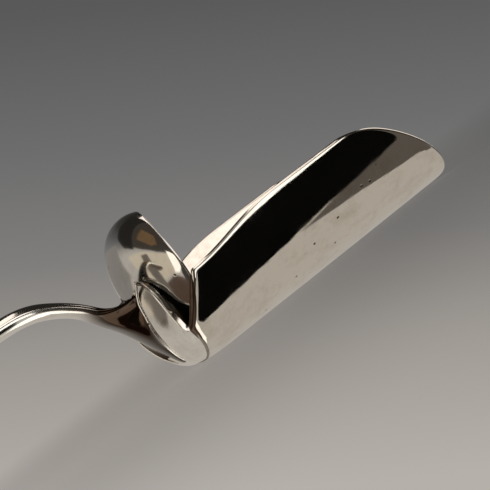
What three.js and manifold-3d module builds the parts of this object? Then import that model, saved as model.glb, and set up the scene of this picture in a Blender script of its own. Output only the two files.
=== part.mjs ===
// A silver caddy spoon: a deep scoop with a rounded mouth, a raised domed back that closes its rear end,
// a two-lobed heel plate that hugs the dome from behind, and a forged handle soldered to that plate.
// Millimetres, +Z up. The bowl lies on the worn flat of its trough, and its mouth points along +X.
// The origin is under the middle of the whole spoon, on the surface that it rests on.
// Until the end, lengths along X count from a zero plane across the heel seam, plus towards the mouth.

import * as THREE from 'three';
import { mergeVertices } from 'three/addons/utils/BufferGeometryUtils.js';
import Module from 'manifold-3d';

const wasm = await Module();
wasm.setup();

// Trough: a half-round sheet with a long oval mouth
const troughRadius = 14;
const troughSheet = 1.0;
const restFlatWidth = 2.4; // worn flat that the spoon lies on
const rimHeight = 12;
const rimDip = 1.8; // the rim drops this much towards the notches at the back
const rimDipLength = 13.5;
const sideLength = 25; // from the notch to where the mouth starts
const mouthLength = 13.2;
const mouthSquareness = 2.6; // exponent of the oval, 2 is an ellipse
const notchSetback = 2.5; // the rear edge lies this far in front of the zero plane at the notches
const notchRise = 0.9; // exponent of the rear edge between the corners and the notches
const seamReach = 1.0; // and this far forward under the bowl, where it meets the heel plate
const cornerTuck = 0.85; // its lower corners reach back this far
const cornerHeight = 4.4; // and stand this high
const endLift = 0.3; // the trough's bottom rises this much at its rear end
const endLiftLength = 4;
const rearReach = 9; // the rear edge's outline fades out over this length

// Domed back
const domeSheet = 0.8;
const domeBack = -1.7; // its rearmost point
const domeDepth = 4.95; // from there to its widest section
const domeCentreHeight = 11.4;
const domeTopHeight = 20.45;
const domeSideAngle = THREE.MathUtils.degToRad(79.5); // how far the dome wraps at its sides
const domeCrownAngle = THREE.MathUtils.degToRad(110); // and at its crown, where it curls forward
const domeFullness = 2.16; // exponent of its arch, 2 is an ellipse

// Heel plate: flush with the trough under the bowl, with a lobe on each side of the handle
const heelSheet = 0.7;
const seamHalfWidth = 9.8;
const lobeHalfWidth = 8.6;
const lobeHeight = 12.9;
const lobeBack = -3.05; // where the crest of a lobe lies furthest back
const crestFlank = 1.3; // width of the slope from a crest to the hollow that holds the handle's tongue
const lobeTuck = 0.45; // a lobe's outer side lies this far behind the trough's corner
const lobeFullness = 1.3; // exponent of a lobe's outer side, 1 is flat
const slantRoom = 1.15; // a slanting sheet takes this many times its thickness along X
const saddleBack = -2.95; // the hollow at its top
const saddleHeight = 12.4;
const seamBlend = 0.2; // share of the plate over which it leaves the trough's round form

// Handle: forged in one piece, from a thin tongue on the heel plate to a broad rounded end
const tongueHeight = 1.5; // middle of its tip
const rootThickness = 2.3;
const neckThickness = 1.7;
const shaftThickness = 2.5;
const endThickness = 1.5;
const rootHalfWidth = 4;
const neckHalfWidth = 2.2;
const endHalfWidth = 6.4;
const handleReach = 45; // from the zero plane to the end
const handleHeight = 18.3; // middle of the level part
const bendReach = 17.9; // from the zero plane to where the handle becomes level
const edgeRoundness = 2.6; // exponent of the handle's section
const tipShare = 0.1; // the last ring keeps this much of the handle's width
const endCloseness = 1.25; // above 1, the rings lie closer towards the rounded end

// Neighbours are held apart by this much
const fitGap = 0.3;

// Detail of the surfaces
const troughRows = 34;
const straightShare = 0.6; // of those rows, ahead of which they bend to the mouth
const troughHalfColumns = 20;
const domeSpokes = 72;
const domeRings = 14;
const heelRows = 24;
const heelHalfColumns = 14;
const handleRings = 56;
const handleRingPoints = 28;

const silver = { color: 0xd6d3cd, metalness: 1, roughness: 0.16 };
const material = (changes = {}) => new THREE.MeshStandardMaterial({ ...silver, ...changes });

const restHalf = restFlatWidth / 2;
const axisHeight = Math.sqrt(troughRadius ** 2 - restHalf ** 2);
const bowlInnerRadius = troughRadius - troughSheet;
const mouthStart = notchSetback + sideLength;

// A curve through [a, b] pairs, read by its share of the way along
function curveThrough(pairs) {
  return new THREE.CatmullRomCurve3(pairs.map(([a, b]) => new THREE.Vector3(a, b, 0)), false, 'centripetal');
}

// A smooth run of one measure, given at evenly spread stations and read by its share of the way along
function measureAlong(values) {
  const run = curveThrough(values.map((value, station) => [station, value]));
  return (share) => run.getPoint(share).y;
}

function geometryOf(positions, triangles) {
  const geometry = new THREE.BufferGeometry();
  geometry.setAttribute('position', new THREE.Float32BufferAttribute(positions.flatMap((p) => p.toArray()), 3));
  geometry.setIndex(triangles);
  return geometry;
}

// Merges shared corners, drops triangles that collapsed to a line and turns the faces outwards
function closed(geometry) {
  geometry.deleteAttribute('normal');
  geometry.deleteAttribute('uv');
  const merged = mergeVertices(geometry, 1e-3);
  const index = merged.index.array;
  const kept = [];
  for (let i = 0; i < index.length; i += 3) {
    const [a, b, c] = [index[i], index[i + 1], index[i + 2]];
    if (a !== b && b !== c && c !== a) kept.push(a, b, c);
  }
  merged.setIndex(kept);
  if (solidOf(merged).volume() < 0) {
    for (let i = 0; i < kept.length; i += 3) [kept[i + 1], kept[i + 2]] = [kept[i + 2], kept[i + 1]];
    merged.setIndex(kept);
  }
  return merged;
}

function solidOf(geometry) {
  return new wasm.Manifold(new wasm.Mesh({
    numProp: 3,
    vertProperties: Float32Array.from(geometry.attributes.position.array),
    triVerts: Uint32Array.from(geometry.index.array),
  }));
}

function geometryFromSolid(solid) {
  const mesh = solid.getMesh();
  const geometry = new THREE.BufferGeometry();
  geometry.setAttribute('position', new THREE.BufferAttribute(Float32Array.from(mesh.vertProperties), 3));
  geometry.setIndex(new THREE.BufferAttribute(Uint32Array.from(mesh.triVerts), 1));
  return geometry;
}

// A sheet between two grids of points: face(row, column) and back(row, column)
function sheet(rows, columns, face, back) {
  const positions = [];
  const triangles = [];
  for (const side of [face, back]) {
    for (let i = 0; i <= rows; i++) {
      for (let j = 0; j <= columns; j++) positions.push(side(i, j));
    }
  }
  const second = (rows + 1) * (columns + 1);
  const at = (i, j) => i * (columns + 1) + j;
  const quad = (a, b, c, d) => triangles.push(a, b, c, a, c, d);
  for (let i = 0; i < rows; i++) {
    for (let j = 0; j < columns; j++) {
      quad(at(i, j), at(i, j + 1), at(i + 1, j + 1), at(i + 1, j));
      quad(second + at(i, j), second + at(i + 1, j), second + at(i + 1, j + 1), second + at(i, j + 1));
    }
    quad(at(i, 0), at(i + 1, 0), second + at(i + 1, 0), second + at(i, 0));
    quad(at(i, columns), second + at(i, columns), second + at(i + 1, columns), at(i + 1, columns));
  }
  for (let j = 0; j < columns; j++) {
    quad(at(0, j), second + at(0, j), second + at(0, j + 1), at(0, j + 1));
    quad(at(rows, j), at(rows, j + 1), second + at(rows, j + 1), second + at(rows, j));
  }
  return closed(geometryOf(positions, triangles));
}

// Height of the trough's outside at a distance from its middle plane, flat at the bottom
function outsideHeight(y) {
  return Math.abs(y) <= restHalf ? 0 : axisHeight - Math.sqrt(troughRadius ** 2 - y ** 2);
}

// The rim's height along the bowl: full height in front, dipping towards the notches
function rimHeightAt(x) {
  const share = THREE.MathUtils.clamp((x - notchSetback) / rimDipLength, 0, 1);
  return rimHeight - (rimDip * (1 + Math.cos(Math.PI * share))) / 2;
}

// How far forward the trough's rear edge lies at a height: back at the corners, forward below and above them
function rearEdgeAt(z) {
  if (z < cornerHeight) return THREE.MathUtils.lerp(seamReach, -cornerTuck, Math.max(0, z) / cornerHeight);
  const climb = Math.min(1, (z - cornerHeight) / (rimHeight - rimDip - cornerHeight));
  return THREE.MathUtils.lerp(-cornerTuck, notchSetback, climb ** notchRise);
}

// Angle from straight down, seen from the trough's axis, at which the outside reaches a height
const angleAtHeight = (z) => Math.acos((axisHeight - z) / troughRadius);

function troughGeometry() {
  const straightRows = Math.round(troughRows * straightShare);
  const rimHalf = troughRadius * Math.sin(angleAtHeight(rimHeight));
  const columns = 2 * troughHalfColumns;

  // Where each row crosses the middle of the bowl, and the angle at which its ends lie
  function row(i) {
    if (i <= straightRows) {
      const x = (mouthStart * i) / straightRows;
      const fade = Math.max(0, 1 - x / rearReach) ** 2;
      const lift = endLift * Math.max(0, 1 - x / endLiftLength) ** 2;
      return { x, fade, lift, edge: angleAtHeight(rimHeightAt(x + notchSetback * fade)) };
    }
    const turn = ((i - straightRows) / (troughRows - straightRows)) * (Math.PI / 2);
    const forward = Math.sin(turn) ** (2 / mouthSquareness);
    const half = rimHalf * Math.cos(turn) ** (2 / mouthSquareness);
    const edge = Math.asin(Math.min(1, half / troughRadius));
    return { x: mouthStart + mouthLength * forward, fade: 0, lift: 0, edge };
  }

  function outside(i, j) {
    const { x, fade, lift, edge } = row(i);
    const step = Math.abs(j - troughHalfColumns);
    const flat = Math.min(Math.asin(restHalf / troughRadius), edge / 2);
    const angle = step === 0 ? 0 : flat + ((edge - flat) * (step - 1)) / (troughHalfColumns - 1);
    const y = Math.sign(j - troughHalfColumns) * troughRadius * Math.sin(angle);
    const z = Math.abs(y) <= restHalf + 1e-9 ? 0 : axisHeight - troughRadius * Math.cos(angle);
    return new THREE.Vector3(x + fade * rearEdgeAt(z), y, z + lift * Math.cos(angle) ** 2);
  }

  function inside(i, j) {
    const point = outside(i, j);
    const inward = new THREE.Vector3(0, -point.y, axisHeight - point.z).normalize();
    return point.addScaledVector(inward, troughSheet);
  }

  return sheet(troughRows, columns, outside, inside);
}

// Distance from the dome's centre to where it meets the trough's inside, or to its arch above
function domeRadiusAt(turn) {
  const inner = bowlInnerRadius - fitGap;
  const lift = axisHeight - domeCentreHeight;
  const across = (angle) => lift * Math.sin(angle) + Math.sqrt(inner ** 2 - (lift * Math.cos(angle)) ** 2);
  const wrap = Math.sin(domeSideAngle);
  if (Math.sin(turn) <= 0) return across(turn) / wrap;
  const halfWidth = across(0) / wrap;
  const rise = domeTopHeight - domeCentreHeight;
  const sideways = Math.abs(Math.cos(turn) / halfWidth) ** domeFullness;
  const upwards = (Math.sin(turn) / rise) ** domeFullness;
  return (sideways + upwards) ** (-1 / domeFullness);
}

function domeGeometry() {
  const profile = [];
  for (let i = 0; i <= domeRings; i++) profile.push(new THREE.Vector2(i / domeRings, 0));
  for (let i = domeRings; i >= 0; i--) profile.push(new THREE.Vector2(i / domeRings, 1));
  const disc = new THREE.LatheGeometry(profile, domeSpokes);
  const point = new THREE.Vector3();
  const places = disc.attributes.position;
  for (let i = 0; i < places.count; i++) {
    point.fromBufferAttribute(places, i);
    const share = Math.hypot(point.x, point.z);
    const inset = point.y * domeSheet;
    const turn = Math.atan2(point.z, point.x);
    const crown = Math.max(0, Math.sin(turn)) ** 2;
    const wrap = share * THREE.MathUtils.lerp(domeSideAngle, domeCrownAngle, crown);
    const radius = (domeRadiusAt(turn) - inset) * Math.sin(wrap);
    const x = domeBack + inset + (domeDepth - inset) * (1 - Math.cos(wrap));
    places.setXYZ(i, x, radius * Math.cos(turn), domeCentreHeight + radius * Math.sin(turn));
  }
  return closed(disc);
}

// Outside of the heel plate, from the seam up. The handle's tongue lies in the hollow up its middle.
// The crest of a lobe rises on each side of the hollow, and the lobe's outer side falls away to the dome.
const seamTop = outsideHeight(seamHalfWidth);
const heelMiddle = curveThrough([
  [seamReach - fitGap, endLift],
  [saddleBack * 0.13, saddleHeight * 0.05],
  [saddleBack * 0.36, saddleHeight * 0.13],
  [saddleBack * 0.57, saddleHeight * 0.28],
  [saddleBack * 0.77, saddleHeight * 0.51],
  [saddleBack * 0.93, saddleHeight * 0.75],
  [saddleBack, saddleHeight * 0.91],
  [saddleBack, saddleHeight],
]);
const crestSpread = [0.05, 0.09, 0.17, 0.34, 0.48, 0.55, 0.58, 0.62]; // in shares of lobeHalfWidth
const crestBulge = [0.1, 0.14, 0.42, 0.8, 1, 0.93, 0.82, 0.48]; // in shares of lobeBack
const crestHalfWidth = measureAlong(crestSpread.map((part) => part * lobeHalfWidth));
const crestBack = measureAlong(crestBulge.map((part) => part * lobeBack));
const cornerSeam = rearEdgeAt(seamTop) - fitGap;
const lobeRise = lobeHeight - seamTop;
const heelSide = curveThrough([
  [seamHalfWidth, seamTop + endLift * Math.cos(angleAtHeight(seamTop)) ** 2],
  [seamHalfWidth - 1.5, seamTop + lobeRise * 0.07],
  [lobeHalfWidth - 0.1, seamTop + lobeRise * 0.21],
  [lobeHalfWidth, seamTop + lobeRise * 0.42],
  [lobeHalfWidth, seamTop + lobeRise * 0.6],
  [lobeHalfWidth - 0.4, seamTop + lobeRise * 0.79],
  [lobeHalfWidth - 1.4, seamTop + lobeRise * 0.94],
  [lobeHalfWidth - 3.0, lobeHeight],
]);

// How far back the dome's outside lies at a place, for what has to clear it
function domeOutsideAt(y, z) {
  const turn = Math.atan2(z - domeCentreHeight, Math.abs(y));
  const share = Math.min(1, Math.hypot(y, z - domeCentreHeight) / domeRadiusAt(turn));
  return domeBack + domeDepth * (1 - Math.sqrt(1 - share ** 2));
}

function heelOutside(share, across) {
  const middle = heelMiddle.getPoint(share);
  const side = heelSide.getPoint(share);
  const y = side.x * across;
  const sideShare = outsideHeight(seamHalfWidth * across) / seamTop;
  const z = THREE.MathUtils.lerp(middle.y, side.y, sideShare);
  const clearOfDome = domeOutsideAt(y, z) - fitGap - slantRoom * heelSheet;
  const crestY = crestHalfWidth(share);
  const crestX = crestBack(share);
  const outer = (Math.abs(y) - crestY) / (side.x - crestY);
  const inner = THREE.MathUtils.smoothstep(Math.abs(y), crestY - crestFlank, crestY);
  const plateX = outer > 0
    ? THREE.MathUtils.lerp(crestX, cornerSeam - lobeTuck, outer ** lobeFullness)
    : THREE.MathUtils.lerp(middle.x, crestX, inner);
  const seamX = rearEdgeAt(outsideHeight(seamHalfWidth * across)) - fitGap;
  const awayFromSeam = THREE.MathUtils.smoothstep(share, 0, seamBlend);
  const x = THREE.MathUtils.lerp(seamX, Math.min(plateX, clearOfDome), awayFromSeam);
  return new THREE.Vector3(x, y, z);
}

// The same surface moved along its own outward direction
function heelOffset(share, across, distance) {
  const small = 1e-3;
  const low = Math.max(0, share - small);
  const high = Math.min(1, share + small);
  const up = heelOutside(high, across).sub(heelOutside(low, across));
  const side = heelOutside(share, across + small).sub(heelOutside(share, across - small));
  const place = heelOutside(share, across);
  const fromAxis = new THREE.Vector3(0, place.y, place.z - axisHeight).normalize();
  const outward = fromAxis.lerp(up.cross(side).normalize(), THREE.MathUtils.smoothstep(share, 0, seamBlend));
  return place.addScaledVector(outward.normalize(), distance);
}

// Keeps a point behind the trough's rear edge, wherever the trough's sheet would be in its way
function clearOfTrough(point) {
  const fromAxis = Math.hypot(point.y, axisHeight - point.z);
  if (fromAxis > bowlInnerRadius - fitGap) point.x = Math.min(point.x, rearEdgeAt(point.z) - fitGap);
  return point;
}

function heelGeometry() {
  const columns = 2 * heelHalfColumns;
  const place = (i, j) => [i / heelRows, (j - heelHalfColumns) / heelHalfColumns];
  return sheet(
    heelRows,
    columns,
    (i, j) => heelOffset(...place(i, j), 0),
    (i, j) => clearOfTrough(heelOffset(...place(i, j), -heelSheet)),
  );
}

// The space that the heel plate and the dome need, with the gap, which the handle's tongue is cut by
function heelClearance() {
  const columns = 2 * heelHalfColumns;
  const place = (i, j) => [i / heelRows, (j - heelHalfColumns) / heelHalfColumns];
  return sheet(
    heelRows,
    columns,
    (i, j) => heelOffset(...place(i, j), fitGap),
    (i, j) => heelOffset(...place(i, j), 0).add(new THREE.Vector3(2 * domeDepth, 0, 0)),
  );
}

// Middle line of the handle in the plane Y = 0, from the tongue's tip to the end
const handleRise = handleHeight - tongueHeight;
const handleLine = curveThrough([
  [-bendReach * 0.056, tongueHeight],
  [-bendReach * 0.1285, tongueHeight + handleRise * 0.21],
  [-bendReach * 0.1676, tongueHeight + handleRise * 0.36],
  [-bendReach * 0.229, tongueHeight + handleRise * 0.49],
  [-bendReach * 0.324, tongueHeight + handleRise * 0.61],
  [-bendReach * 0.4358, tongueHeight + handleRise * 0.76],
  [-bendReach * 0.581, tongueHeight + handleRise * 0.88],
  [-bendReach * 0.7542, tongueHeight + handleRise * 0.966],
  [-bendReach, handleHeight],
  [-handleReach * 0.6, handleHeight],
  [-handleReach * 0.8, handleHeight * 0.9727],
  [-handleReach, handleHeight * 0.9126],
]);
const handleThickness = measureAlong([
  rootThickness * 0.217, rootThickness * 0.543, rootThickness * 0.913, rootThickness,
  rootThickness * 0.826, neckThickness, neckThickness * 1.118, shaftThickness * 0.92,
  shaftThickness, shaftThickness, endThickness * 1.333, endThickness,
]);
const handleHalfWidth = measureAlong([
  rootHalfWidth * 0.225, rootHalfWidth * 0.625, rootHalfWidth * 0.925, rootHalfWidth,
  rootHalfWidth * 0.775, neckHalfWidth * 1.091, neckHalfWidth, neckHalfWidth * 1.045,
  neckHalfWidth * 1.227, endHalfWidth * 0.609, endHalfWidth * 0.906, endHalfWidth,
]);

// A rounded section across the handle, drawn in near the end so that the end is round in plan
function handleRing(share) {
  const centre = handleLine.getPoint(share);
  const along = handleLine.getTangent(share);
  const outward = new THREE.Vector3(along.y, -along.x, 0);
  const left = handleLine.getLength() * (1 - share);
  const drawIn = Math.sqrt(1 - Math.max(0, 1 - left / endHalfWidth) ** 2);
  const half = handleHalfWidth(share) * Math.max(tipShare, drawIn);
  const thick = (handleThickness(share) / 2) * Math.max(tipShare, drawIn ** 0.5);
  const ring = [];
  for (let k = 0; k < handleRingPoints; k++) {
    const turn = (2 * Math.PI * k) / handleRingPoints;
    const shape = (value) => Math.sign(value) * Math.abs(value) ** (2 / edgeRoundness);
    const across = half * shape(Math.cos(turn));
    const away = thick * shape(Math.sin(turn));
    ring.push(new THREE.Vector3(centre.x + outward.x * away, across, centre.y + outward.y * away));
  }
  return ring;
}

function handleGeometry() {
  const positions = [];
  const triangles = [];
  for (let i = 0; i <= handleRings; i++) {
    positions.push(...handleRing(1 - (1 - i / handleRings) ** endCloseness));
  }
  for (let i = 0; i < handleRings; i++) {
    for (let k = 0; k < handleRingPoints; k++) {
      const next = (k + 1) % handleRingPoints;
      const [a, b] = [i * handleRingPoints + k, i * handleRingPoints + next];
      triangles.push(a, b, b + handleRingPoints, a, b + handleRingPoints, a + handleRingPoints);
    }
  }
  for (let k = 1; k < handleRingPoints - 1; k++) {
    const last = handleRings * handleRingPoints;
    triangles.push(0, k + 1, k);
    triangles.push(last, last + k, last + k + 1);
  }
  const blank = closed(geometryOf(positions, triangles));
  const fitted = solidOf(blank).subtract(solidOf(heelClearance()));
  const pieces = fitted.decompose().sort((a, b) => b.volume() - a.volume());
  return geometryFromSolid(pieces[0]);
}

function part(name, geometry, finish) {
  const mesh = new THREE.Mesh(geometry, material(finish));
  mesh.name = name;
  return mesh;
}

const bowl = new THREE.Group();
bowl.add(part('bowl_trough', troughGeometry(), {}));
bowl.add(part('domed_back', domeGeometry(), { roughness: 0.2 }));

const grip = new THREE.Group();
grip.add(part('heel_plate', heelGeometry(), { roughness: 0.22 }));
grip.add(part('handle', handleGeometry(), { roughness: 0.24 }));

const spoon = new THREE.Group();
spoon.add(bowl, grip);

// The origin moves from the zero plane to the middle of the spoon
const extent = new THREE.Box3().setFromObject(spoon, true);
spoon.position.x = -(extent.min.x + extent.max.x) / 2;

export default spoon;
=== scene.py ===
"""A silver caddy spoon lying on its trough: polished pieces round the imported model, and a studio."""

import math

import bpy
from mathutils import Matrix, Vector


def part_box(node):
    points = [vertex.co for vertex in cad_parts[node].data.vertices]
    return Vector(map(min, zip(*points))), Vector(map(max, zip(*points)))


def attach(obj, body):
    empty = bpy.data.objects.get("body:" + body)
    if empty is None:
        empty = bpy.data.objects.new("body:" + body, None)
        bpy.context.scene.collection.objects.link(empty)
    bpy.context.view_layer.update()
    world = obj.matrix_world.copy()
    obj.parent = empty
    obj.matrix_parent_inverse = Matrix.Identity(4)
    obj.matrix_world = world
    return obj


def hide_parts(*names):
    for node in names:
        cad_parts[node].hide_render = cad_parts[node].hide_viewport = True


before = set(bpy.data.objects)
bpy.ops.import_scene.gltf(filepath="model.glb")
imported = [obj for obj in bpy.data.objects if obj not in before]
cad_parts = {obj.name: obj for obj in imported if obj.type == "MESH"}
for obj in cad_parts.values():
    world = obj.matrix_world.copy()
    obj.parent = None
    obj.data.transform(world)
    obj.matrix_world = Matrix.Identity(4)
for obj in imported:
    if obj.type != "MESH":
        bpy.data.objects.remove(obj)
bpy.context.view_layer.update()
bpy.ops.object.select_all(action="DESELECT")

MM = 0.001

# Sizes, in millimetres as in the source. Heights are from the floor, and lengths along the spoon are from
# a zero plane near its rear end, forwards to the mouth and, below zero, back to the handle.

# The trough is half-round sheet, with a narrow flat strip below to rest on. The solid's wall, which the dome
# keeps clear of, is thicker than the rolled sheet that shows.
TROUGH_RADIUS = 14.0
TROUGH_SHEET = 1.0
ROLLED_SHEET = 0.75
ROLLED_EDGE = 0.34
REST_HALF = 1.2
AXIS_HEIGHT = math.sqrt(TROUGH_RADIUS ** 2 - REST_HALF ** 2)

# Its rim dips towards the rear, down to a notch at each rear corner
RIM_HEIGHT = 12.0
RIM_DIP = 1.8
RIM_DIP_LENGTH = 13.5
NOTCH_SETBACK = 2.5
NOTCH_RISE = 0.9

# Its rear edge runs back from the seam at the bottom to a corner on each side, then forward to the notch.
# The rear end is lifted off the floor, and its form fades out over the rear reach.
SEAM_REACH = 1.0
CORNER_TUCK = 0.85
CORNER_HEIGHT = 4.4
END_LIFT = 0.3
END_LIFT_LENGTH = 4.0
REAR_REACH = 9.0

# Its rows are straight over the rear part, and bend from there to the oval of the mouth
BEND_FROM = 16.0
STRAIGHT_SHARE = 0.45
BEND_EASE = 1.15
MOUTH_START = 27.5
MOUTH_LENGTH = 13.2
MOUTH_SQUARENESS = 2.6

# The dome bulges back. At its rim the sheet has turned by nearly a right angle at the sides, and by more
# over the crown, where it curls forward and down.
DOME_SHEET = 0.8
DOME_EDGE = 0.25
DOME_BACK = -1.7
DOME_DEPTH = 4.95
DOME_CENTRE = 11.4
DOME_TOP = 20.4
DOME_SIDE_ANGLE = math.radians(79.5)
DOME_CROWN_ANGLE = math.radians(110)
DOME_FULLNESS = 2.16

# Room between pieces that are soldered together, and the sine of the turn, below the dome's middle, from
# which this room opens round the dome
FIT = 0.3
FIT_OPENS_AT = -0.35

# The heel plate rises from the seam in two lobes, with a crest on each and a saddle between them
HEEL_SHEET = 0.6
HEEL_EDGE = 0.2
SEAM_HALF_WIDTH = 9.8
LOBE_HALF_WIDTH = 8.6
LOBE_HEIGHT = 12.9
LOBE_BACK = -3.05
LOBE_TUCK = 0.45
LOBE_FULLNESS = 1.3
CREST_FLANK = 1.3
SADDLE_BACK = -2.95
SADDLE_HEIGHT = 11.4
SEAM_BLEND = 0.2
SEAM_LAP = 0.05

# The far lobe was bent a little closer to the dome than the near one, over the upper part of its height
FAR_LEAN = 1.0
LEAN_SHARES = (0.55, 0.95)
LEAN_SIDE = (2, 5)

# How finely each blank is divided before it is pressed
SHEET_DIVISIONS = 18
HEEL_ROWS = 24
HEEL_COLUMNS = 28

# Where the zero plane of these lengths lies in the row's frame
SEAM_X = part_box("bowl_trough")[1].x / MM - (MOUTH_START + MOUTH_LENGTH)


# Small tools

def lerp(a, b, share):
    return a + (b - a) * share


def clamp(value, low=0.0, high=1.0):
    return max(low, min(high, value))


def smooth(value, low=0.0, high=1.0):
    """From 0 at the low value to 1 at the high one, level at both."""
    t = clamp((value - low) / (high - low))
    return t * t * (3 - 2 * t)


def through(points, share):
    """A point on a smooth line through the given ones, at a share of their count."""
    place = clamp(share) * (len(points) - 1)
    i = min(int(place), len(points) - 2)
    t = place - i
    a = Vector(points[max(i - 1, 0)])
    b = Vector(points[i])
    c = Vector(points[i + 1])
    d = Vector(points[min(i + 2, len(points) - 1)])
    if i == 0:
        a = 2 * b - c
    if i == len(points) - 2:
        d = 2 * c - b
    bend = 2 * a - 5 * b + 4 * c - d
    twist = 3 * b - a - 3 * c + d
    return 0.5 * (2 * b + (c - a) * t + bend * t * t + twist * t ** 3)


def through_values(values, share):
    """A measure on a smooth run through the given ones."""
    return through([(value, 0, 0) for value in values], share).x


def in_row(x, y, z):
    """Millimetres from the zero plane to metres in the row's frame."""
    return Vector(((x + SEAM_X) * MM, y * MM, z * MM))


def edit(mode="EDIT"):
    bpy.ops.object.mode_set(mode=mode)


def active():
    return bpy.context.view_layer.objects.active


def apply_modifier(piece, kind, **settings):
    """Adds a modifier with its settings and applies it."""
    modifier = piece.modifiers.new(kind.title(), kind)
    for name, value in settings.items():
        setattr(modifier, name, value)
    bpy.context.view_layer.objects.active = piece
    bpy.ops.object.modifier_apply(modifier=modifier.name)


def pressed_blank(name, rows, columns, form):
    """A flat square blank, divided by rows and columns, and pressed into its form point by point."""
    bpy.ops.mesh.primitive_grid_add(x_subdivisions=columns, y_subdivisions=rows, size=2)
    blank = active()
    blank.name = name
    for corner in blank.data.vertices:
        corner.co = form(corner.co.x, corner.co.y)
    return blank


def face_outwards(piece):
    """Turns the blank over where its faces look into the bowl."""
    in_the_bowl = in_row(BEND_FROM / 2, 0, DOME_CENTRE)
    middle = piece.data.polygons[len(piece.data.polygons) // 2]
    if middle.normal.dot(middle.center - in_the_bowl) < 0:
        edit()
        bpy.ops.mesh.select_all(action="SELECT")
        bpy.ops.mesh.flip_normals()
        edit("OBJECT")


def smooth_shaded(piece):
    bpy.ops.object.select_all(action="DESELECT")
    piece.select_set(True)
    bpy.context.view_layer.objects.active = piece
    bpy.ops.object.shade_smooth()
    bpy.ops.object.select_all(action="DESELECT")


def make_sheet(piece, thickness, edge, levels=3):
    """Gives the blank its thickness, inwards, rounds its edges and smooths it."""
    face_outwards(piece)
    apply_modifier(piece, "SOLIDIFY", thickness=thickness * MM, offset=-1, use_even_offset=True)
    apply_modifier(piece, "BEVEL", width=edge * MM, segments=2, limit_method="ANGLE",
                   angle_limit=math.radians(50), harden_normals=False)
    apply_modifier(piece, "SUBSURF", levels=levels, render_levels=levels)
    smooth_shaded(piece)


# Trough

def outside_height(y):
    return AXIS_HEIGHT - math.sqrt(max(0.0, TROUGH_RADIUS ** 2 - y * y))


def angle_at_height(z):
    """How far round from the bottom the trough's outside reaches a height."""
    return math.acos(clamp((AXIS_HEIGHT - z) / TROUGH_RADIUS, -1, 1))


def rim_height(x):
    share = clamp((x - NOTCH_SETBACK) / RIM_DIP_LENGTH)
    return RIM_HEIGHT - RIM_DIP * (1 + math.cos(math.pi * share)) / 2


def rear_edge(z):
    """How far forward the trough's rear edge lies: back at the corners, forward below and above them."""
    if z < CORNER_HEIGHT:
        return lerp(SEAM_REACH, -CORNER_TUCK, max(0.0, z) / CORNER_HEIGHT)
    climb = clamp((z - CORNER_HEIGHT) / (RIM_HEIGHT - RIM_DIP - CORNER_HEIGHT))
    return lerp(-CORNER_TUCK, NOTCH_SETBACK, climb ** NOTCH_RISE)


def trough_form(across, along):
    """Outside of the trough: straight rows behind, then rows that bend more and more to the mouth."""
    share = (along + 1) / 2
    lift = 0.0
    if share <= STRAIGHT_SHARE:
        x = BEND_FROM * share / STRAIGHT_SHARE
        fade = clamp(1 - x / REAR_REACH) ** 2
        lift = END_LIFT * clamp(1 - x / END_LIFT_LENGTH) ** 2
        angle = across * angle_at_height(rim_height(x + NOTCH_SETBACK * fade))
        z = AXIS_HEIGHT - TROUGH_RADIUS * math.cos(angle)
        x += fade * rear_edge(max(z, 0.0))
    else:
        bend = (share - STRAIGHT_SHARE) / (1 - STRAIGHT_SHARE)
        turn = across * math.pi / 2
        half = TROUGH_RADIUS * math.sin(angle_at_height(RIM_HEIGHT))
        power = 2 / MOUTH_SQUARENESS
        mouth_x = MOUTH_START + MOUTH_LENGTH * max(0.0, math.cos(turn)) ** power
        mouth_y = half * math.copysign(abs(math.sin(turn)) ** power, turn)
        side = angle_at_height(rim_height(lerp(BEND_FROM, MOUTH_START, bend)))
        straight_y = TROUGH_RADIUS * math.sin(across * side)
        x = lerp(BEND_FROM, mouth_x, bend)
        y = lerp(straight_y, mouth_y, bend ** BEND_EASE)
        angle = math.asin(clamp(y / TROUGH_RADIUS, -1, 1))
    z = AXIS_HEIGHT - TROUGH_RADIUS * math.cos(angle) + lift * math.cos(angle) ** 2
    return in_row(x, TROUGH_RADIUS * math.sin(angle), max(z, 0.0))


def make_trough():
    trough = pressed_blank("polished_trough", SHEET_DIVISIONS, SHEET_DIVISIONS, trough_form)
    make_sheet(trough, ROLLED_SHEET, ROLLED_EDGE)
    return trough


# Domed back

def dome_radius(turn):
    """From the dome's centre to where it meets the trough's inside below, or to its arch above."""
    inner = TROUGH_RADIUS - TROUGH_SHEET - FIT * smooth(math.sin(turn), FIT_OPENS_AT, 0.0)
    lift = AXIS_HEIGHT - DOME_CENTRE

    def across(angle):
        return lift * math.sin(angle) + math.sqrt(inner ** 2 - (lift * math.cos(angle)) ** 2)

    wrap = math.sin(DOME_SIDE_ANGLE)
    if math.sin(turn) <= 0:
        return across(turn) / wrap
    sideways = abs(math.cos(turn) * wrap / across(0)) ** DOME_FULLNESS
    upwards = (math.sin(turn) / (DOME_TOP - DOME_CENTRE)) ** DOME_FULLNESS
    return (sideways + upwards) ** (-1 / DOME_FULLNESS)


def dome_form(across, height):
    """Outside of the dome, from its middle to its rim."""
    flat_y = across * math.sqrt(1 - height ** 2 / 2)
    flat_z = height * math.sqrt(1 - across ** 2 / 2)
    share = math.hypot(flat_y, flat_z)
    turn = math.atan2(flat_z, flat_y)
    crown = max(0.0, math.sin(turn)) ** 2
    wrap = share * lerp(DOME_SIDE_ANGLE, DOME_CROWN_ANGLE, crown)
    radius = dome_radius(turn) * math.sin(wrap)
    x = DOME_BACK + DOME_DEPTH * (1 - math.cos(wrap))
    return in_row(x, radius * math.cos(turn), DOME_CENTRE + radius * math.sin(turn))


def make_dome():
    dome = pressed_blank("raised_dome", SHEET_DIVISIONS, SHEET_DIVISIONS, dome_form)
    make_sheet(dome, DOME_SHEET, DOME_EDGE)
    return dome


# Heel plate

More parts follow.
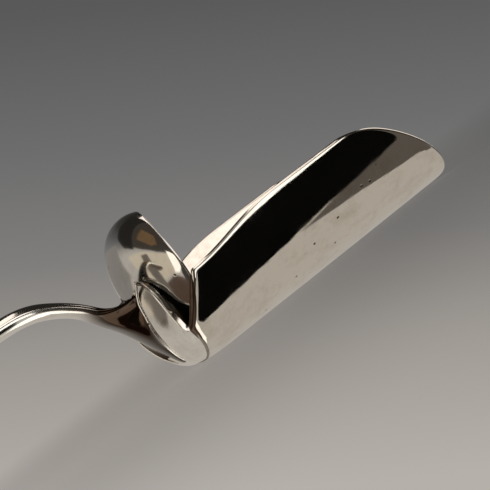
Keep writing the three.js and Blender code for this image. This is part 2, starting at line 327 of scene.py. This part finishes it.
SEAM_TOP = outside_height(SEAM_HALF_WIDTH)
LOBE_RISE = LOBE_HEIGHT - SEAM_TOP
CORNER_SEAM = rear_edge(SEAM_TOP) - FIT

# Up the plate's middle, from the seam to the saddle: how far back it lies, and its height
HEEL_MIDDLE = [
    (SEAM_REACH - FIT, END_LIFT, 0),
    (SADDLE_BACK * 0.13, 0.6, 0),
    (SADDLE_BACK * 0.36, 1.6, 0),
    (SADDLE_BACK * 0.57, 3.4, 0),
    (SADDLE_BACK * 0.77, 6.1, 0),
    (SADDLE_BACK * 0.9, 8.7, 0),
    (SADDLE_BACK * 0.94, 10.3, 0),
    (SADDLE_BACK * 0.94, SADDLE_HEIGHT, 0),
]

# Up a lobe's outer side, from the seam's corner to its round top: how far out it lies, and its height
HEEL_SIDE = [
    (SEAM_HALF_WIDTH, SEAM_TOP + END_LIFT / 2, 0),
    (SEAM_HALF_WIDTH - 0.5, SEAM_TOP + LOBE_RISE * 0.1, 0),
    (LOBE_HALF_WIDTH + 0.3, SEAM_TOP + LOBE_RISE * 0.23, 0),
    (LOBE_HALF_WIDTH, SEAM_TOP + LOBE_RISE * 0.42, 0),
    (LOBE_HALF_WIDTH, SEAM_TOP + LOBE_RISE * 0.6, 0),
    (LOBE_HALF_WIDTH - 0.4, SEAM_TOP + LOBE_RISE * 0.79, 0),
    (LOBE_HALF_WIDTH - 1.4, SEAM_TOP + LOBE_RISE * 0.94, 0),
    (LOBE_HALF_WIDTH - 3.0, LOBE_HEIGHT, 0),
]

# Up a lobe's crest, as shares of the lobe's half width and of its reach to the rear
CREST_SPREAD = [0.05, 0.09, 0.17, 0.34, 0.48, 0.55, 0.59, 0.7]
CREST_BULGE = [0.1, 0.14, 0.42, 0.8, 1, 0.93, 0.82, 0.48]


def crest(share):
    """How far out and how far back the crest of a lobe lies."""
    return (through_values(CREST_SPREAD, share) * LOBE_HALF_WIDTH,
            through_values(CREST_BULGE, share) * LOBE_BACK)


def dome_outside_at(y, z):
    """How far back the dome's outside lies at a place."""
    turn = math.atan2(z - DOME_CENTRE, abs(y))
    share = min(1.0, math.hypot(y, z - DOME_CENTRE) / dome_radius(turn))
    return DOME_BACK + DOME_DEPTH * (1 - math.sqrt(1 - share ** 2))


def heel_outside(share, across):
    """Outside of the plate: a hollow up its middle, a crest on each side, and the lobes' outer sides."""
    middle = through(HEEL_MIDDLE, share)
    side = through(HEEL_SIDE, share)
    y = side.x * across
    seam_z = outside_height(SEAM_HALF_WIDTH * across)
    z = lerp(middle.y, side.y, clamp(seam_z / SEAM_TOP))
    clear_of_dome = dome_outside_at(y, z) - HEEL_SHEET
    crest_y, crest_x = crest(share)
    outer = (abs(y) - crest_y) / (side.x - crest_y)
    if outer > 0:
        plate_x = lerp(crest_x, CORNER_SEAM - LOBE_TUCK, outer ** LOBE_FULLNESS)
    else:
        plate_x = lerp(middle.x, crest_x, smooth(abs(y), crest_y - CREST_FLANK, crest_y))
    seam_x = rear_edge(seam_z) - SEAM_LAP
    x = lerp(seam_x, min(plate_x, clear_of_dome), smooth(share, 0, SEAM_BLEND))
    if y > 0:
        x += FAR_LEAN * smooth(share, *LEAN_SHARES) * smooth(y, *LEAN_SIDE)
    return Vector((x, y, z))


def heel_form(across, along):
    return in_row(*heel_outside((along + 1) / 2, across))


def make_heel():
    heel = pressed_blank("lobed_heel", HEEL_ROWS, HEEL_COLUMNS, heel_form)
    make_sheet(heel, HEEL_SHEET, HEEL_EDGE, levels=2)
    return heel


# Bars and wires

# How far before and after a place its direction is taken, as a share of the line
STEP = 0.01

# A wire's thickness at its very ends, as a share of its full one, and the share of its length that has it
WIRE_END = 0.35
WIRE_TIP = 0.02
WIRE_CORNERS = 8


def extruded_bar(name, corners, rings, section):
    """A bar pulled out of a disc step by step, each step's corners set by its section, and smoothed."""
    bpy.ops.mesh.primitive_circle_add(vertices=corners, radius=MM, fill_type="NGON")
    bar = active()
    bar.name = name
    edit()
    bpy.ops.mesh.select_all(action="SELECT")
    for _ in range(rings):
        bpy.ops.mesh.extrude_region_move()
    edit("OBJECT")
    for i, corner in enumerate(bar.data.vertices):
        ring, k = divmod(i, corners)
        corner.co = section(ring / rings, 2 * math.pi * k / corners)
    edit()
    bpy.ops.mesh.select_all(action="SELECT")
    bpy.ops.mesh.normals_make_consistent(inside=False)
    edit("OBJECT")
    apply_modifier(bar, "SUBSURF", levels=2, render_levels=2)
    smooth_shaded(bar)
    return bar


def wire(name, places, radius, rings):
    """A round wire along a smooth line through the given places, thinner towards its ends."""
    def section(share, turn):
        ahead = (through(places, share + STEP) - through(places, share - STEP)).normalized()
        side = ahead.cross(Vector((1, 0, 0))).normalized()
        inner_share = clamp(share, WIRE_TIP, 1 - WIRE_TIP)
        thick = radius * lerp(WIRE_END, 1, math.sqrt(math.sin(math.pi * inner_share)))
        outwards = side * math.cos(turn) + ahead.cross(side) * math.sin(turn)
        return in_row(*(through(places, share) + thick * outwards))

    return extruded_bar(name, WIRE_CORNERS, rings, section)


# Handle: its middle line, as places along the spoon and heights, and its thickness and half width there
HANDLE_LINE = [
    (-1.0, 1.5, 0),
    (-2.3, 5.03, 0),
    (-3.0, 7.55, 0),
    (-4.1, 9.73, 0),
    (-5.8, 11.75, 0),
    (-7.8, 14.27, 0),
    (-10.4, 16.28, 0),
    (-13.5, 17.73, 0),
    (-17.9, 18.3, 0),
    (-27, 18.3, 0),
    (-36, 17.8, 0),
    (-44.9, 16.7, 0),
]
HANDLE_THICKNESS = [0.5, 1.25, 2.1, 2.3, 1.9, 1.7, 1.9, 2.3, 2.5, 2.5, 2.0, 1.5]
HANDLE_HALF_WIDTH = [0.9, 2.5, 3.7, 4, 3.1, 2.4, 2.2, 2.3, 2.7, 3.9, 5.8, 6.4]
HANDLE_CORNERS = 36
HANDLE_RINGS = 44
EDGE_ROUNDNESS = 2.1

# Its broad end is drawn in over the last of its length, to this share of its width at the tip, and its
# rings lie closer together towards it
HANDLE_LENGTH = 52.5
HANDLE_END = 6.4
HANDLE_TIP = 0.1
END_EASE = 1.2

# The root flares in two wings along the lobes' crests. They reach the crests' tops at the first share of the
# handle's line, from just before that they fade, and at the second they are gone.
FLARE_TOP = 0.3
FLARE_END = 0.41
FLARE_FADE = 0.9
FLARE_CLIMB = 0.9
CREST_FROM = 0.1
CREST_TO = 0.97

# A wing is thin. It starts inside the bar's half width, sags towards the crest and laps into the plate.
WING_SHEET = 0.25
WING_START = 0.6
WING_THIN = 0.7
WING_SAG = 1.7
WING_LIFT = 1.5
WING_LAP = 0.15
WING_PAST_BAR = 1.05


def flare_tip(share, half):
    """Where the root's wing meets the plate along the lobe's crest, and how much of the wing is left."""
    crest_share = lerp(CREST_FROM, CREST_TO, clamp(share / FLARE_TOP) ** FLARE_CLIMB)
    tip_y = max(crest(crest_share)[0], half * WING_PAST_BAR)
    tip = heel_outside(crest_share, tip_y / through(HEEL_SIDE, crest_share).x)
    return tip, 1 - smooth(share, FLARE_TOP * FLARE_FADE, FLARE_END)


def fuller(value):
    """The sine or cosine of an angle, for an oval that is a little squarer than an ellipse."""
    return math.copysign(abs(value) ** (2 / EDGE_ROUNDNESS), value)


def handle_section(share, turn):
    """A corner of the handle's section: an oval bar, with two hollow wings at its root up to the crests."""
    share = 1 - (1 - share) ** END_EASE
    centre = through(HANDLE_LINE, share)
    ahead = through(HANDLE_LINE, min(1, share + STEP)) - through(HANDLE_LINE, max(0, share - STEP))
    ahead.normalize()
    from_end = HANDLE_LENGTH * (1 - share) / HANDLE_END
    draw_in = max(HANDLE_TIP, math.sqrt(1 - clamp(1 - from_end) ** 2))
    half = through_values(HANDLE_HALF_WIDTH, share) * draw_in
    thick = through_values(HANDLE_THICKNESS, share) / 2 * math.sqrt(draw_in)
    y = half * fuller(math.cos(turn))
    away = thick * fuller(math.sin(turn))
    tip, wing = flare_tip(share, half)
    if wing > 0:
        reach = abs(fuller(math.cos(turn))) * lerp(half, tip.y, wing)
        out = clamp((reach - WING_START * half) / (tip.y - WING_START * half))
        carried = (1 - (1 - out) ** WING_SAG) * wing
        raised = out ** WING_LIFT * wing
        bar_side = math.sqrt(max(0.0, 1 - min(1.0, reach / half) ** 2))
        flank = lerp(thick * bar_side, WING_SHEET, smooth(out, 0, WING_THIN))
        away = lerp(away, math.copysign(flank, math.sin(turn)), wing)
        centre = Vector((lerp(centre.x, tip.x + WING_LAP, carried), lerp(centre.y, tip.z, raised), 0))
        y = math.copysign(reach, math.cos(turn))
    return in_row(centre.x + ahead.y * away, y, centre.y - ahead.x * away)


def make_handle():
    return extruded_bar("forged_handle", HANDLE_CORNERS, HANDLE_RINGS, handle_section)


# Lobe rims: the shares of the plate's height that a rim passes on its crest and on the outer side,
# and the shares of the way from one to the other over the top
RIM_RADIUS = 0.24
RIM_RINGS = 60
RIM_UP = (0.3, 0.4, 0.5, 0.6, 0.7, 0.8, 0.9)
RIM_OVER = (0.3, 0.65)
RIM_DOWN = (0.94, 0.86, 0.78, 0.7, 0.6, 0.5, 0.4, 0.3, 0.2, 0.12)
RIM_TOP = 0.995
RIM_SIDE = 0.985


def make_rim(name, side):
    """The raised rim of a lobe: up its crest, over its round top and down its outer side."""
    places = []
    for share in RIM_UP:
        places.append(heel_outside(share, side * crest(share)[0] / through(HEEL_SIDE, share).x))
    inner = crest(1)[0] / through(HEEL_SIDE, 1).x
    for part in RIM_OVER:
        places.append(heel_outside(RIM_TOP, side * lerp(inner, 1, part)))
    for share in RIM_DOWN:
        places.append(heel_outside(share, side * RIM_SIDE))
    return wire(name, places, RIM_RADIUS, RIM_RINGS)


# End joints: from below the plate's corner to below the notch, just inside the trough's rear edge
JOINT_RADIUS = 0.5
JOINT_RINGS = 40
JOINT_PLACES = 15
JOINT_BELOW_CORNER = 1.5
JOINT_BELOW_NOTCH = 0.5
JOINT_INSET = 0.48
JOINT_FORWARD = 0.12


def make_end_joint(name, side):
    """The tarnished joint between the dome's rim and the rear edge of the trough."""
    low = SEAM_TOP - JOINT_BELOW_CORNER
    high = RIM_HEIGHT - RIM_DIP - JOINT_BELOW_NOTCH
    radius = TROUGH_RADIUS - JOINT_INSET
    places = []
    for k in range(JOINT_PLACES):
        z = lerp(low, high, k / (JOINT_PLACES - 1))
        turn = angle_at_height(z)
        places.append(Vector((rear_edge(z) + JOINT_FORWARD,
                              side * radius * math.sin(turn),
                              AXIS_HEIGHT - radius * math.cos(turn))))
    return wire(name, places, JOINT_RADIUS, JOINT_RINGS)


# Solder seam: along nearly the whole rear edge below the plate, sunk into it
SOLDER_RADIUS = 0.24
SOLDER_RINGS = 60
SOLDER_PLACES = 25
SOLDER_SHARE = 0.97
SOLDER_BACK = 0.02
SOLDER_INSET = 0.14


def make_seam():
    """The line of solder between the trough and the heel plate."""
    places = []
    for k in range(SOLDER_PLACES):
        y = SEAM_HALF_WIDTH * (2 * k / (SOLDER_PLACES - 1) - 1) * SOLDER_SHARE
        z = outside_height(y)
        lift = END_LIFT * (1 - (y / TROUGH_RADIUS) ** 2)
        inwards = Vector((0, -y, AXIS_HEIGHT - z)).normalized()
        places.append(Vector((rear_edge(z) - SOLDER_BACK, y, z + lift)) + inwards * SOLDER_INSET)
    return wire("solder_seam", places, SOLDER_RADIUS, SOLDER_RINGS)


# Materials

# Sizes of the marks on the silver, in millimetres
SWELL = 6.25
SCRATCH_LENGTH = 10 / 3
SCRATCH_GAP = 1 / 9
SCRATCH_DEPTH = 0.004
PIT_GAP = 100 / 33
PIT_DEPTH = 0.03
PIT_RAGGED = 0.3
PIT_RAGGED_OVER = 10 / 9
PATCH = 25 / 6
TARNISH_AND_SHADE_RAGGED = 4.0

# A pit's radius at its bottom and at its edge, as shares of the gap between pits
PIT_RADII = (0.03, 0.075)

# How much rougher the polish is inside a patch, what lies in pits, and the colour in the root's hollow:
# brown tarnish there, darkened further as painted shade for the crease under the root
PATCH_ROUGHNESS = 0.06
PIT_TARNISH = "#4A4038"
ROOT_TARNISH_AND_SHADE = "#40332A"

# Sockets of the colour mix node, which has several of the same name
MIX_SHARE = 0
MIX_A = 6
MIX_B = 7
MIX_RESULT = 2


def linear(code):
    """An sRGB hex colour as linear red, green, blue and alpha."""
    parts = [int(code[i:i + 2], 16) / 255 for i in (1, 3, 5)]
    return tuple(p / 12.92 if p <= 0.04045 else ((p + 0.055) / 1.055) ** 2.4 for p in parts) + (1.0,)


def in_a_metre(size):
    """How often a size in millimetres goes into a metre, which is a pattern's scale."""
    return 1 / (size * MM)


def new_tree(data):
    """Gives a new material or world an empty set of nodes."""
    data.use_nodes = True
    data.node_tree.nodes.clear()
    return data.node_tree


def add(tree, kind, inputs=None, **settings):
    """Adds a node, sets its properties and fills its sockets with values or with other nodes' outputs."""
    node = tree.nodes.new(kind)
    for name, value in settings.items():
        setattr(node, name, value)
    for socket, value in (inputs or {}).items():
        if isinstance(value, bpy.types.NodeSocket):
            tree.links.new(value, node.inputs[socket])
        else:
            node.inputs[socket].default_value = value
    return node


def silver(name, colour, tarnish, roughness, haze, wave, hollow=None):
    """Sterling silver: rolled or forged, then polished by hand, with pits, scratches and a thin tarnish.

    The wave is the height of its swells in millimetres. Where a hollow is given, as two places along the
    spoon, brown tarnish with painted shade deepens from the first to the second: partly real tarnish, partly
    the crease's shade painted into the colour."""
    material = bpy.data.materials.new(name)
    tree = new_tree(material)
    place = add(tree, "ShaderNodeTexCoord").outputs["Object"]
    # Work by hand leaves the surface slightly wavy, so that the edges of reflections wander
    sway = add(tree, "ShaderNodeTexNoise", {
        "Vector": place, "Scale": in_a_metre(SWELL), "Detail": 1.0}).outputs["Fac"]
    # Polishing scratches, mostly along the spoon
    stretch = (in_a_metre(SCRATCH_LENGTH), in_a_metre(SCRATCH_GAP), in_a_metre(SCRATCH_GAP))
    stretched = add(tree, "ShaderNodeMapping", {"Vector": place, "Scale": stretch}).outputs["Vector"]
    scratch = add(tree, "ShaderNodeTexNoise", {
        "Vector": stretched, "Scale": 1.0, "Detail": 2.0}).outputs["Fac"]
    # Small pits with ragged outlines
    warped = add(tree, "ShaderNodeTexNoise", {
        "Vector": place, "Scale": in_a_metre(PIT_RAGGED_OVER)}).outputs["Color"]
    bent = add(tree, "ShaderNodeVectorMath", {0: warped, 1: (PIT_RAGGED * MM,) * 3}, operation="MULTIPLY")
    jitter = add(tree, "ShaderNodeVectorMath", {0: place, 1: bent.outputs["Vector"]}, operation="ADD")
    cell = add(tree, "ShaderNodeTexVoronoi", {
        "Vector": jitter.outputs["Vector"], "Scale": in_a_metre(PIT_GAP)})
    pit = add(tree, "ShaderNodeMapRange", {
        "Value": cell.outputs["Distance"], "From Min": PIT_RADII[0], "From Max": PIT_RADII[1],
        "To Min": 0.0, "To Max": 1.0}, interpolation_type="SMOOTHSTEP").outputs["Result"]
    waved = add(tree, "ShaderNodeBump", {"Height": sway, "Strength": 1.0, "Distance": wave * MM})
    lined = add(tree, "ShaderNodeBump", {
        "Height": scratch, "Strength": 0.35, "Distance": SCRATCH_DEPTH * MM,
        "Normal": waved.outputs["Normal"]})
    pitted = add(tree, "ShaderNodeBump", {
        "Height": pit, "Strength": 0.6, "Distance": PIT_DEPTH * MM,
        "Normal": lined.outputs["Normal"]})
    # A thin tarnish stays in cloudy patches, a brown one in the pits
    patch = add(tree, "ShaderNodeTexNoise", {
        "Vector": place, "Scale": in_a_metre(PATCH), "Detail": 6.0, "Roughness": 0.72}).outputs["Fac"]
    veil = add(tree, "ShaderNodeMapRange", {
        "Value": patch, "From Min": 0.48, "From Max": 0.75, "To Min": 0.0, "To Max": haze})
    tint = add(tree, "ShaderNodeMix", {
        MIX_SHARE: veil.outputs["Result"], MIX_A: linear(colour), MIX_B: linear(tarnish)},
        data_type="RGBA").outputs[MIX_RESULT]
    base = add(tree, "ShaderNodeMix", {
        MIX_SHARE: pit, MIX_A: linear(PIT_TARNISH), MIX_B: tint}, data_type="RGBA").outputs[MIX_RESULT]
    if hollow:
        # The sway moves the hollow's edge back and forth, on average by half of its most
        along = add(tree, "ShaderNodeSeparateXYZ", {"Vector": place}).outputs["X"]
        ragged = add(tree, "ShaderNodeMath", {
            0: sway, 1: TARNISH_AND_SHADE_RAGGED * MM, 2: along}, operation="MULTIPLY_ADD").outputs["Value"]
        start, end = (in_row(x, 0, 0).x + TARNISH_AND_SHADE_RAGGED * MM / 2 for x in hollow)
        tarnish_and_shade_share = add(tree, "ShaderNodeMapRange", {
            "Value": ragged, "From Min": start, "From Max": end},
            interpolation_type="SMOOTHSTEP").outputs["Result"]
        # Painted shade with brown tarnish: the colour darkens towards the root's hollow, for the crease's
        # shadow as well as for tarnish
        base = add(tree, "ShaderNodeMix", {
            MIX_SHARE: tarnish_and_shade_share, MIX_A: base, MIX_B: linear(ROOT_TARNISH_AND_SHADE)},
            data_type="RGBA").outputs[MIX_RESULT]
    rough = add(tree, "ShaderNodeMapRange", {
        "Value": patch, "From Min": 0.35, "From Max": 0.75,
        "To Min": roughness, "To Max": roughness + PATCH_ROUGHNESS})
    shader = add(tree, "ShaderNodeBsdfPrincipled", {
        "Base Color": base, "Metallic": 1.0, "Roughness": rough.outputs["Result"],
        "Normal": pitted.outputs["Normal"]})
    add(tree, "ShaderNodeOutputMaterial", {"Surface": shader.outputs["BSDF"]})
    return material


# Rolled sheet with a mirror polish: edges of what it reflects stay sharp
SILVER = silver("mirror_polished_silver", "#E0DBD2", "#A3947E", roughness=0.02, haze=0.4, wave=0.03)
# The raised dome was polished less often: its reflections are hazier
RAISED = silver("raised_silver", "#E2DFD9", "#A0917C", roughness=0.08, haze=0.35, wave=0.05)
# The handle and heel are forged and held in the hand: fine scratches soften their shine
HANDLED = silver("handled_silver", "#E9E6E0", "#A3927C", roughness=0.11, haze=0.3, wave=0.04)
# The handle has the same finish, but its hollow root is painted dark brown: partly tarnish that stays
# between cleanings, partly painted shade for the crease's shadow under the root
TARNISHED_AND_SHADED_ROOT = silver("handled_silver_with_tarnished_and_shaded_root", "#E9E6E0", "#A3927C",
                roughness=0.09, haze=0.3, wave=0.04, hollow=(-9.5, -5.5))
# Silver solder keeps a dull grey-brown film that polishing does not reach
SOLDER = silver("tarnished_solder", "#8D867C", "#544A40", roughness=0.38, haze=0.8, wave=0.02)
# The joint of the dome and the trough's end is hard to reach with a cloth: brown tarnish has built up on it
JOINT = silver("brown_tarnished_joint", "#57483C", "#33261D", roughness=0.3, haze=0.8, wave=0.03)


# The spoon: each piece, the solid it stands for, its finish and the record's slot for it
PIECES = (
    (make_trough(), "bowl_trough", SILVER, "polished_silver"),
    (make_dome(), "domed_back", RAISED, "polished_silver"),
    (make_heel(), "heel_plate", HANDLED, "handled_silver"),
    (make_handle(), "handle", TARNISHED_AND_SHADED_ROOT, "handled_silver"),
    (make_rim("near_lobe_rim", -1), None, HANDLED, "handled_silver"),
    (make_rim("far_lobe_rim", 1), None, HANDLED, "handled_silver"),
    (make_seam(), None, SOLDER, "handled_silver"),
    (make_end_joint("near_end_joint", -1), None, JOINT, "handled_silver"),
    (make_end_joint("far_end_joint", 1), None, JOINT, "handled_silver"),
)
for piece, node, finish, slot in PIECES:
    piece.data.materials.clear()
    piece.data.materials.append(finish)
    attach(piece, "root")
    if node:
        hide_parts(node)


# Camera: where it stands round the spoon, how it is turned about its own line of sight, and what it aims at
AZIMUTH = math.radians(19)
ELEVATION = math.radians(1.25)
ROLL = math.radians(37.35)
DISTANCE = 263.3
AIM = Vector((9.54 + SEAM_X, -13.62, 8.70))

# Half of the picture's width and the camera's focal length, both in pixels
HALF_PICTURE = 245
FOCAL_LENGTH = 2236

TOWARD = Vector((-math.sin(AZIMUTH) * math.cos(ELEVATION),
                 -math.cos(AZIMUTH) * math.cos(ELEVATION),
                 math.sin(ELEVATION)))
LEVEL = Vector((math.cos(AZIMUTH), -math.sin(AZIMUTH), 0))
UPRIGHT = TOWARD.cross(LEVEL)
PICTURE_RIGHT = LEVEL * math.cos(ROLL) - UPRIGHT * math.sin(ROLL)
PICTURE_UP = LEVEL * math.sin(ROLL) + UPRIGHT * math.cos(ROLL)


def set_camera():
    camera_data = bpy.data.cameras.new("camera")
    camera_data.sensor_fit = "HORIZONTAL"
    camera_data.angle = 2 * math.atan(HALF_PICTURE / FOCAL_LENGTH)
    camera_data.clip_start = 0.01
    camera_data.clip_end = 20
    camera = bpy.data.objects.new("camera", camera_data)
    bpy.context.scene.collection.objects.link(camera)
    camera.matrix_world = Matrix((PICTURE_RIGHT, PICTURE_UP, TOWARD)).transposed().to_4x4()
    camera.location = (AIM + TOWARD * DISTANCE) * MM
    bpy.context.scene.camera = camera


# Studio: the backdrop's colours from the bottom of the picture to its top, and how far it is tilted
BACKDROP = [
    (0.0, "#BEB8B0"), (0.39, "#B5B0AA"), (0.45, "#A09B95"), (0.5, "#807E7C"),
    (0.55, "#6D6D6D"), (0.61, "#5A5A5B"), (0.75, "#3A3936"), (1.0, "#262421"),
]
BACKDROP_TILT = 0.1

# The floor, in metres: it fades out round the spoon, so that only a faint contact shadow shows
FLOOR_RADIUS = 0.4
FLOOR_FADE = (0.04, 0.16)
FLOOR_COVER = 0.22

# Cards of light and shade that the silver mirrors, each named for what it gives the eye. A card's corners
# are directions from the spoon, as azimuth and elevation in the picture's own room, in degrees, and then
# come its colour, strength and distance in millimetres. Nearer cards hide the ones behind them.
CARDS = (
    # What the trough's near side shows: a black band, its grey end at the mouth, and bright metal below
    ("dark_flag", [(47, 32), (62, 10), (78, -22), (93, -36), (97, -41), (84, -42), (66, -32), (50, -12),
                   (45, 8)], "#080807", 1.0, 300),
    ("grey_card", [(54, 14), (70, -14), (84, -27), (104, -24), (108, 0), (90, 24)], "#5E5852", 1.0, 320),
    ("under_light", [(34, -42), (60, -46), (95, -46), (130, -45), (150, -46), (152, -62), (120, -74),
                     (40, -72)], "#FFFBF2", 1.5, 300),
    ("bottom_light", [(40, -71), (110, -74), (155, -71), (-160, -71), (-100, -74), (-20, -74)],
     "#FFFBF2", 1.5, 300),
    # The bright streak along its near rim, the light inside its far wall, and the line round the mouth
    ("front_light", [(28, 30), (41, 26), (46, 6), (45, -14), (40, -16), (34, 4)], "#FFFCF6", 1.6, 300),
    ("far_wall_light", [(-16, 40), (19, 39), (24, 48), (10, 64), (-16, 66)], "#FFF7EF", 1.5, 300),
    ("mouth_light", [(138, 62), (140, 32), (160, 12), (178, 10), (178, 60)], "#FFF3EA", 1.2, 500),
    ("rim_light", [(-14, 58), (-14, 72), (-60, 80), (-110, 74), (-145, 54), (-152, 40), (-140, 40),
                   (-110, 58), (-60, 62)], "#FFF3EA", 1.4, 600),
    # The room to the left: what the dome, the lobes and the handle show
    ("dark_room", [(-137, 12), (-122, -5), (-100, -9), (-70, -9), (-46, -2), (-40, 30), (-50, 56),
                   (-90, 62), (-135, 56)], "#403B35", 1.0, 2600),
    ("dusk", [(-150, 44), (-142, 14), (-136, 2), (-126, -6), (-112, -9), (-113, 14), (-118, 52)],
     "#262422", 1.0, 1200),
    ("brown_wood", [(-104, 3), (-100, 26), (-70, 26), (-66, 6), (-80, -1)], "#6E5840", 1.0, 800),
    ("cream_card", [(-124, -13), (-100, -12), (-70, -11), (-50, -6), (-50, -40), (-75, -42), (-100, -41),
                    (-112, -34)], "#CBBFAC", 1.0, 1400),
    ("lobe_shade", [(-105, -15), (-94, -14), (-90, -34), (-92, -50), (-104, -48), (-106, -36)],
     "#6B645C", 1.0, 700),
    ("white_left", [(-48, 0), (-22, 2), (-20, -30), (-30, -39), (-48, -40)], "#FFF6E8", 1.4, 900),
    ("grey_left", [(-166, -2), (-138, -2), (-132, -20), (-150, -26), (-166, -22)], "#86827D", 1.0, 1500),
    # Shade below and before the spoon, which gives the root and the handle their dark sides
    ("dark_under", [(-103, -43), (-60, -43), (-20, -42), (32, -44), (34, -72), (-40, -73), (-110, -72),
                    (-108, -62)], "#54443A", 1.0, 2400),
    ("dark_front", [(-40, 56), (30, 56), (60, 40), (60, 10), (26, -44), (-22, -42), (-22, 2), (-46, 0)],
     "#3E3B37", 1.0, 2600),
)


def look(azimuth, elevation):
    """A direction in the picture's own room: 0 is towards the camera, 90 to the right, and up is up."""
    a = math.radians(azimuth)
    e = math.radians(elevation)
    flat = PICTURE_RIGHT * math.sin(a) + TOWARD * math.cos(a)
    return flat * math.cos(e) + PICTURE_UP * math.sin(e)


def glow(name, colour, strength):
    """A card's even light, in its own colour."""
    material = bpy.data.materials.new(name)
    tree = new_tree(material)
    light = add(tree, "ShaderNodeEmission", {"Color": linear(colour), "Strength": strength})
    add(tree, "ShaderNodeOutputMaterial", {"Surface": light.outputs["Emission"]})
    return material


def hang_card(name, corners, colour, strength, distance):
    """A card some way off, which shows only in reflections."""
    mesh = bpy.data.meshes.new(name)
    places = [(AIM + look(*corner) * distance) * MM for corner in corners]
    mesh.from_pydata(places, [], [list(range(len(places)))])
    thing = bpy.data.objects.new(name, mesh)
    bpy.context.scene.collection.objects.link(thing)
    thing.data.materials.append(glow(name, colour, strength))
    thing.visible_camera = False
    thing.visible_diffuse = False
    thing.visible_shadow = False


def make_backdrop():
    """A world that is pale at the bottom of the picture and dark at its top, as seen and as reflected."""
    world = bpy.data.worlds.new("studio")
    tree = new_tree(world)
    upwards = (PICTURE_UP - PICTURE_RIGHT * BACKDROP_TILT).normalized()
    place = add(tree, "ShaderNodeTexCoord").outputs["Generated"]
    height = add(tree, "ShaderNodeVectorMath", {0: place, 1: upwards}, operation="DOT_PRODUCT")
    share = add(tree, "ShaderNodeMapRange", {
        "Value": height.outputs["Value"], "From Min": -0.5, "From Max": 0.5, "To Min": 0.0, "To Max": 1.0})
    ramp = add(tree, "ShaderNodeValToRGB", {"Fac": share.outputs["Result"]})
    scale = ramp.color_ramp
    while len(scale.elements) < len(BACKDROP):
        scale.elements.new(0.5)
    for element, (position, colour) in zip(scale.elements, BACKDROP):
        element.position = position
        element.color = linear(colour)
    back = add(tree, "ShaderNodeBackground", {"Color": ramp.outputs["Color"], "Strength": 1.0})
    add(tree, "ShaderNodeOutputWorld", {"Surface": back.outputs["Background"]})
    bpy.context.scene.world = world


def make_floor():
    """A matt painted board: it takes the spoon's shadow, and clears towards its edge."""
    bpy.ops.mesh.primitive_circle_add(vertices=96, radius=FLOOR_RADIUS, fill_type="TRIFAN")
    floor = active()
    floor.name = "pale_floor"
    material = bpy.data.materials.new("pale_floor")
    tree = new_tree(material)
    place = add(tree, "ShaderNodeTexCoord").outputs["Object"]
    reach = add(tree, "ShaderNodeVectorMath", {0: place}, operation="LENGTH")
    cover = add(tree, "ShaderNodeMapRange", {
        "Value": reach.outputs["Value"], "From Min": FLOOR_FADE[0], "From Max": FLOOR_FADE[1],
        "To Min": FLOOR_COVER, "To Max": 0.0}, interpolation_type="SMOOTHSTEP")
    paint = add(tree, "ShaderNodeBsdfDiffuse", {"Color": linear("#C9C5BF")})
    clear = add(tree, "ShaderNodeBsdfTransparent")
    both = add(tree, "ShaderNodeMixShader", {
        0: cover.outputs["Result"], 1: clear.outputs["BSDF"], 2: paint.outputs["BSDF"]})
    add(tree, "ShaderNodeOutputMaterial", {"Surface": both.outputs["Shader"]})
    floor.data.materials.append(material)
    floor.visible_glossy = False
    bpy.ops.object.select_all(action="DESELECT")


set_camera()
make_backdrop()
make_floor()
for card in CARDS:
    hang_card(*card)

bpy.context.scene.view_settings.view_transform = "Standard"
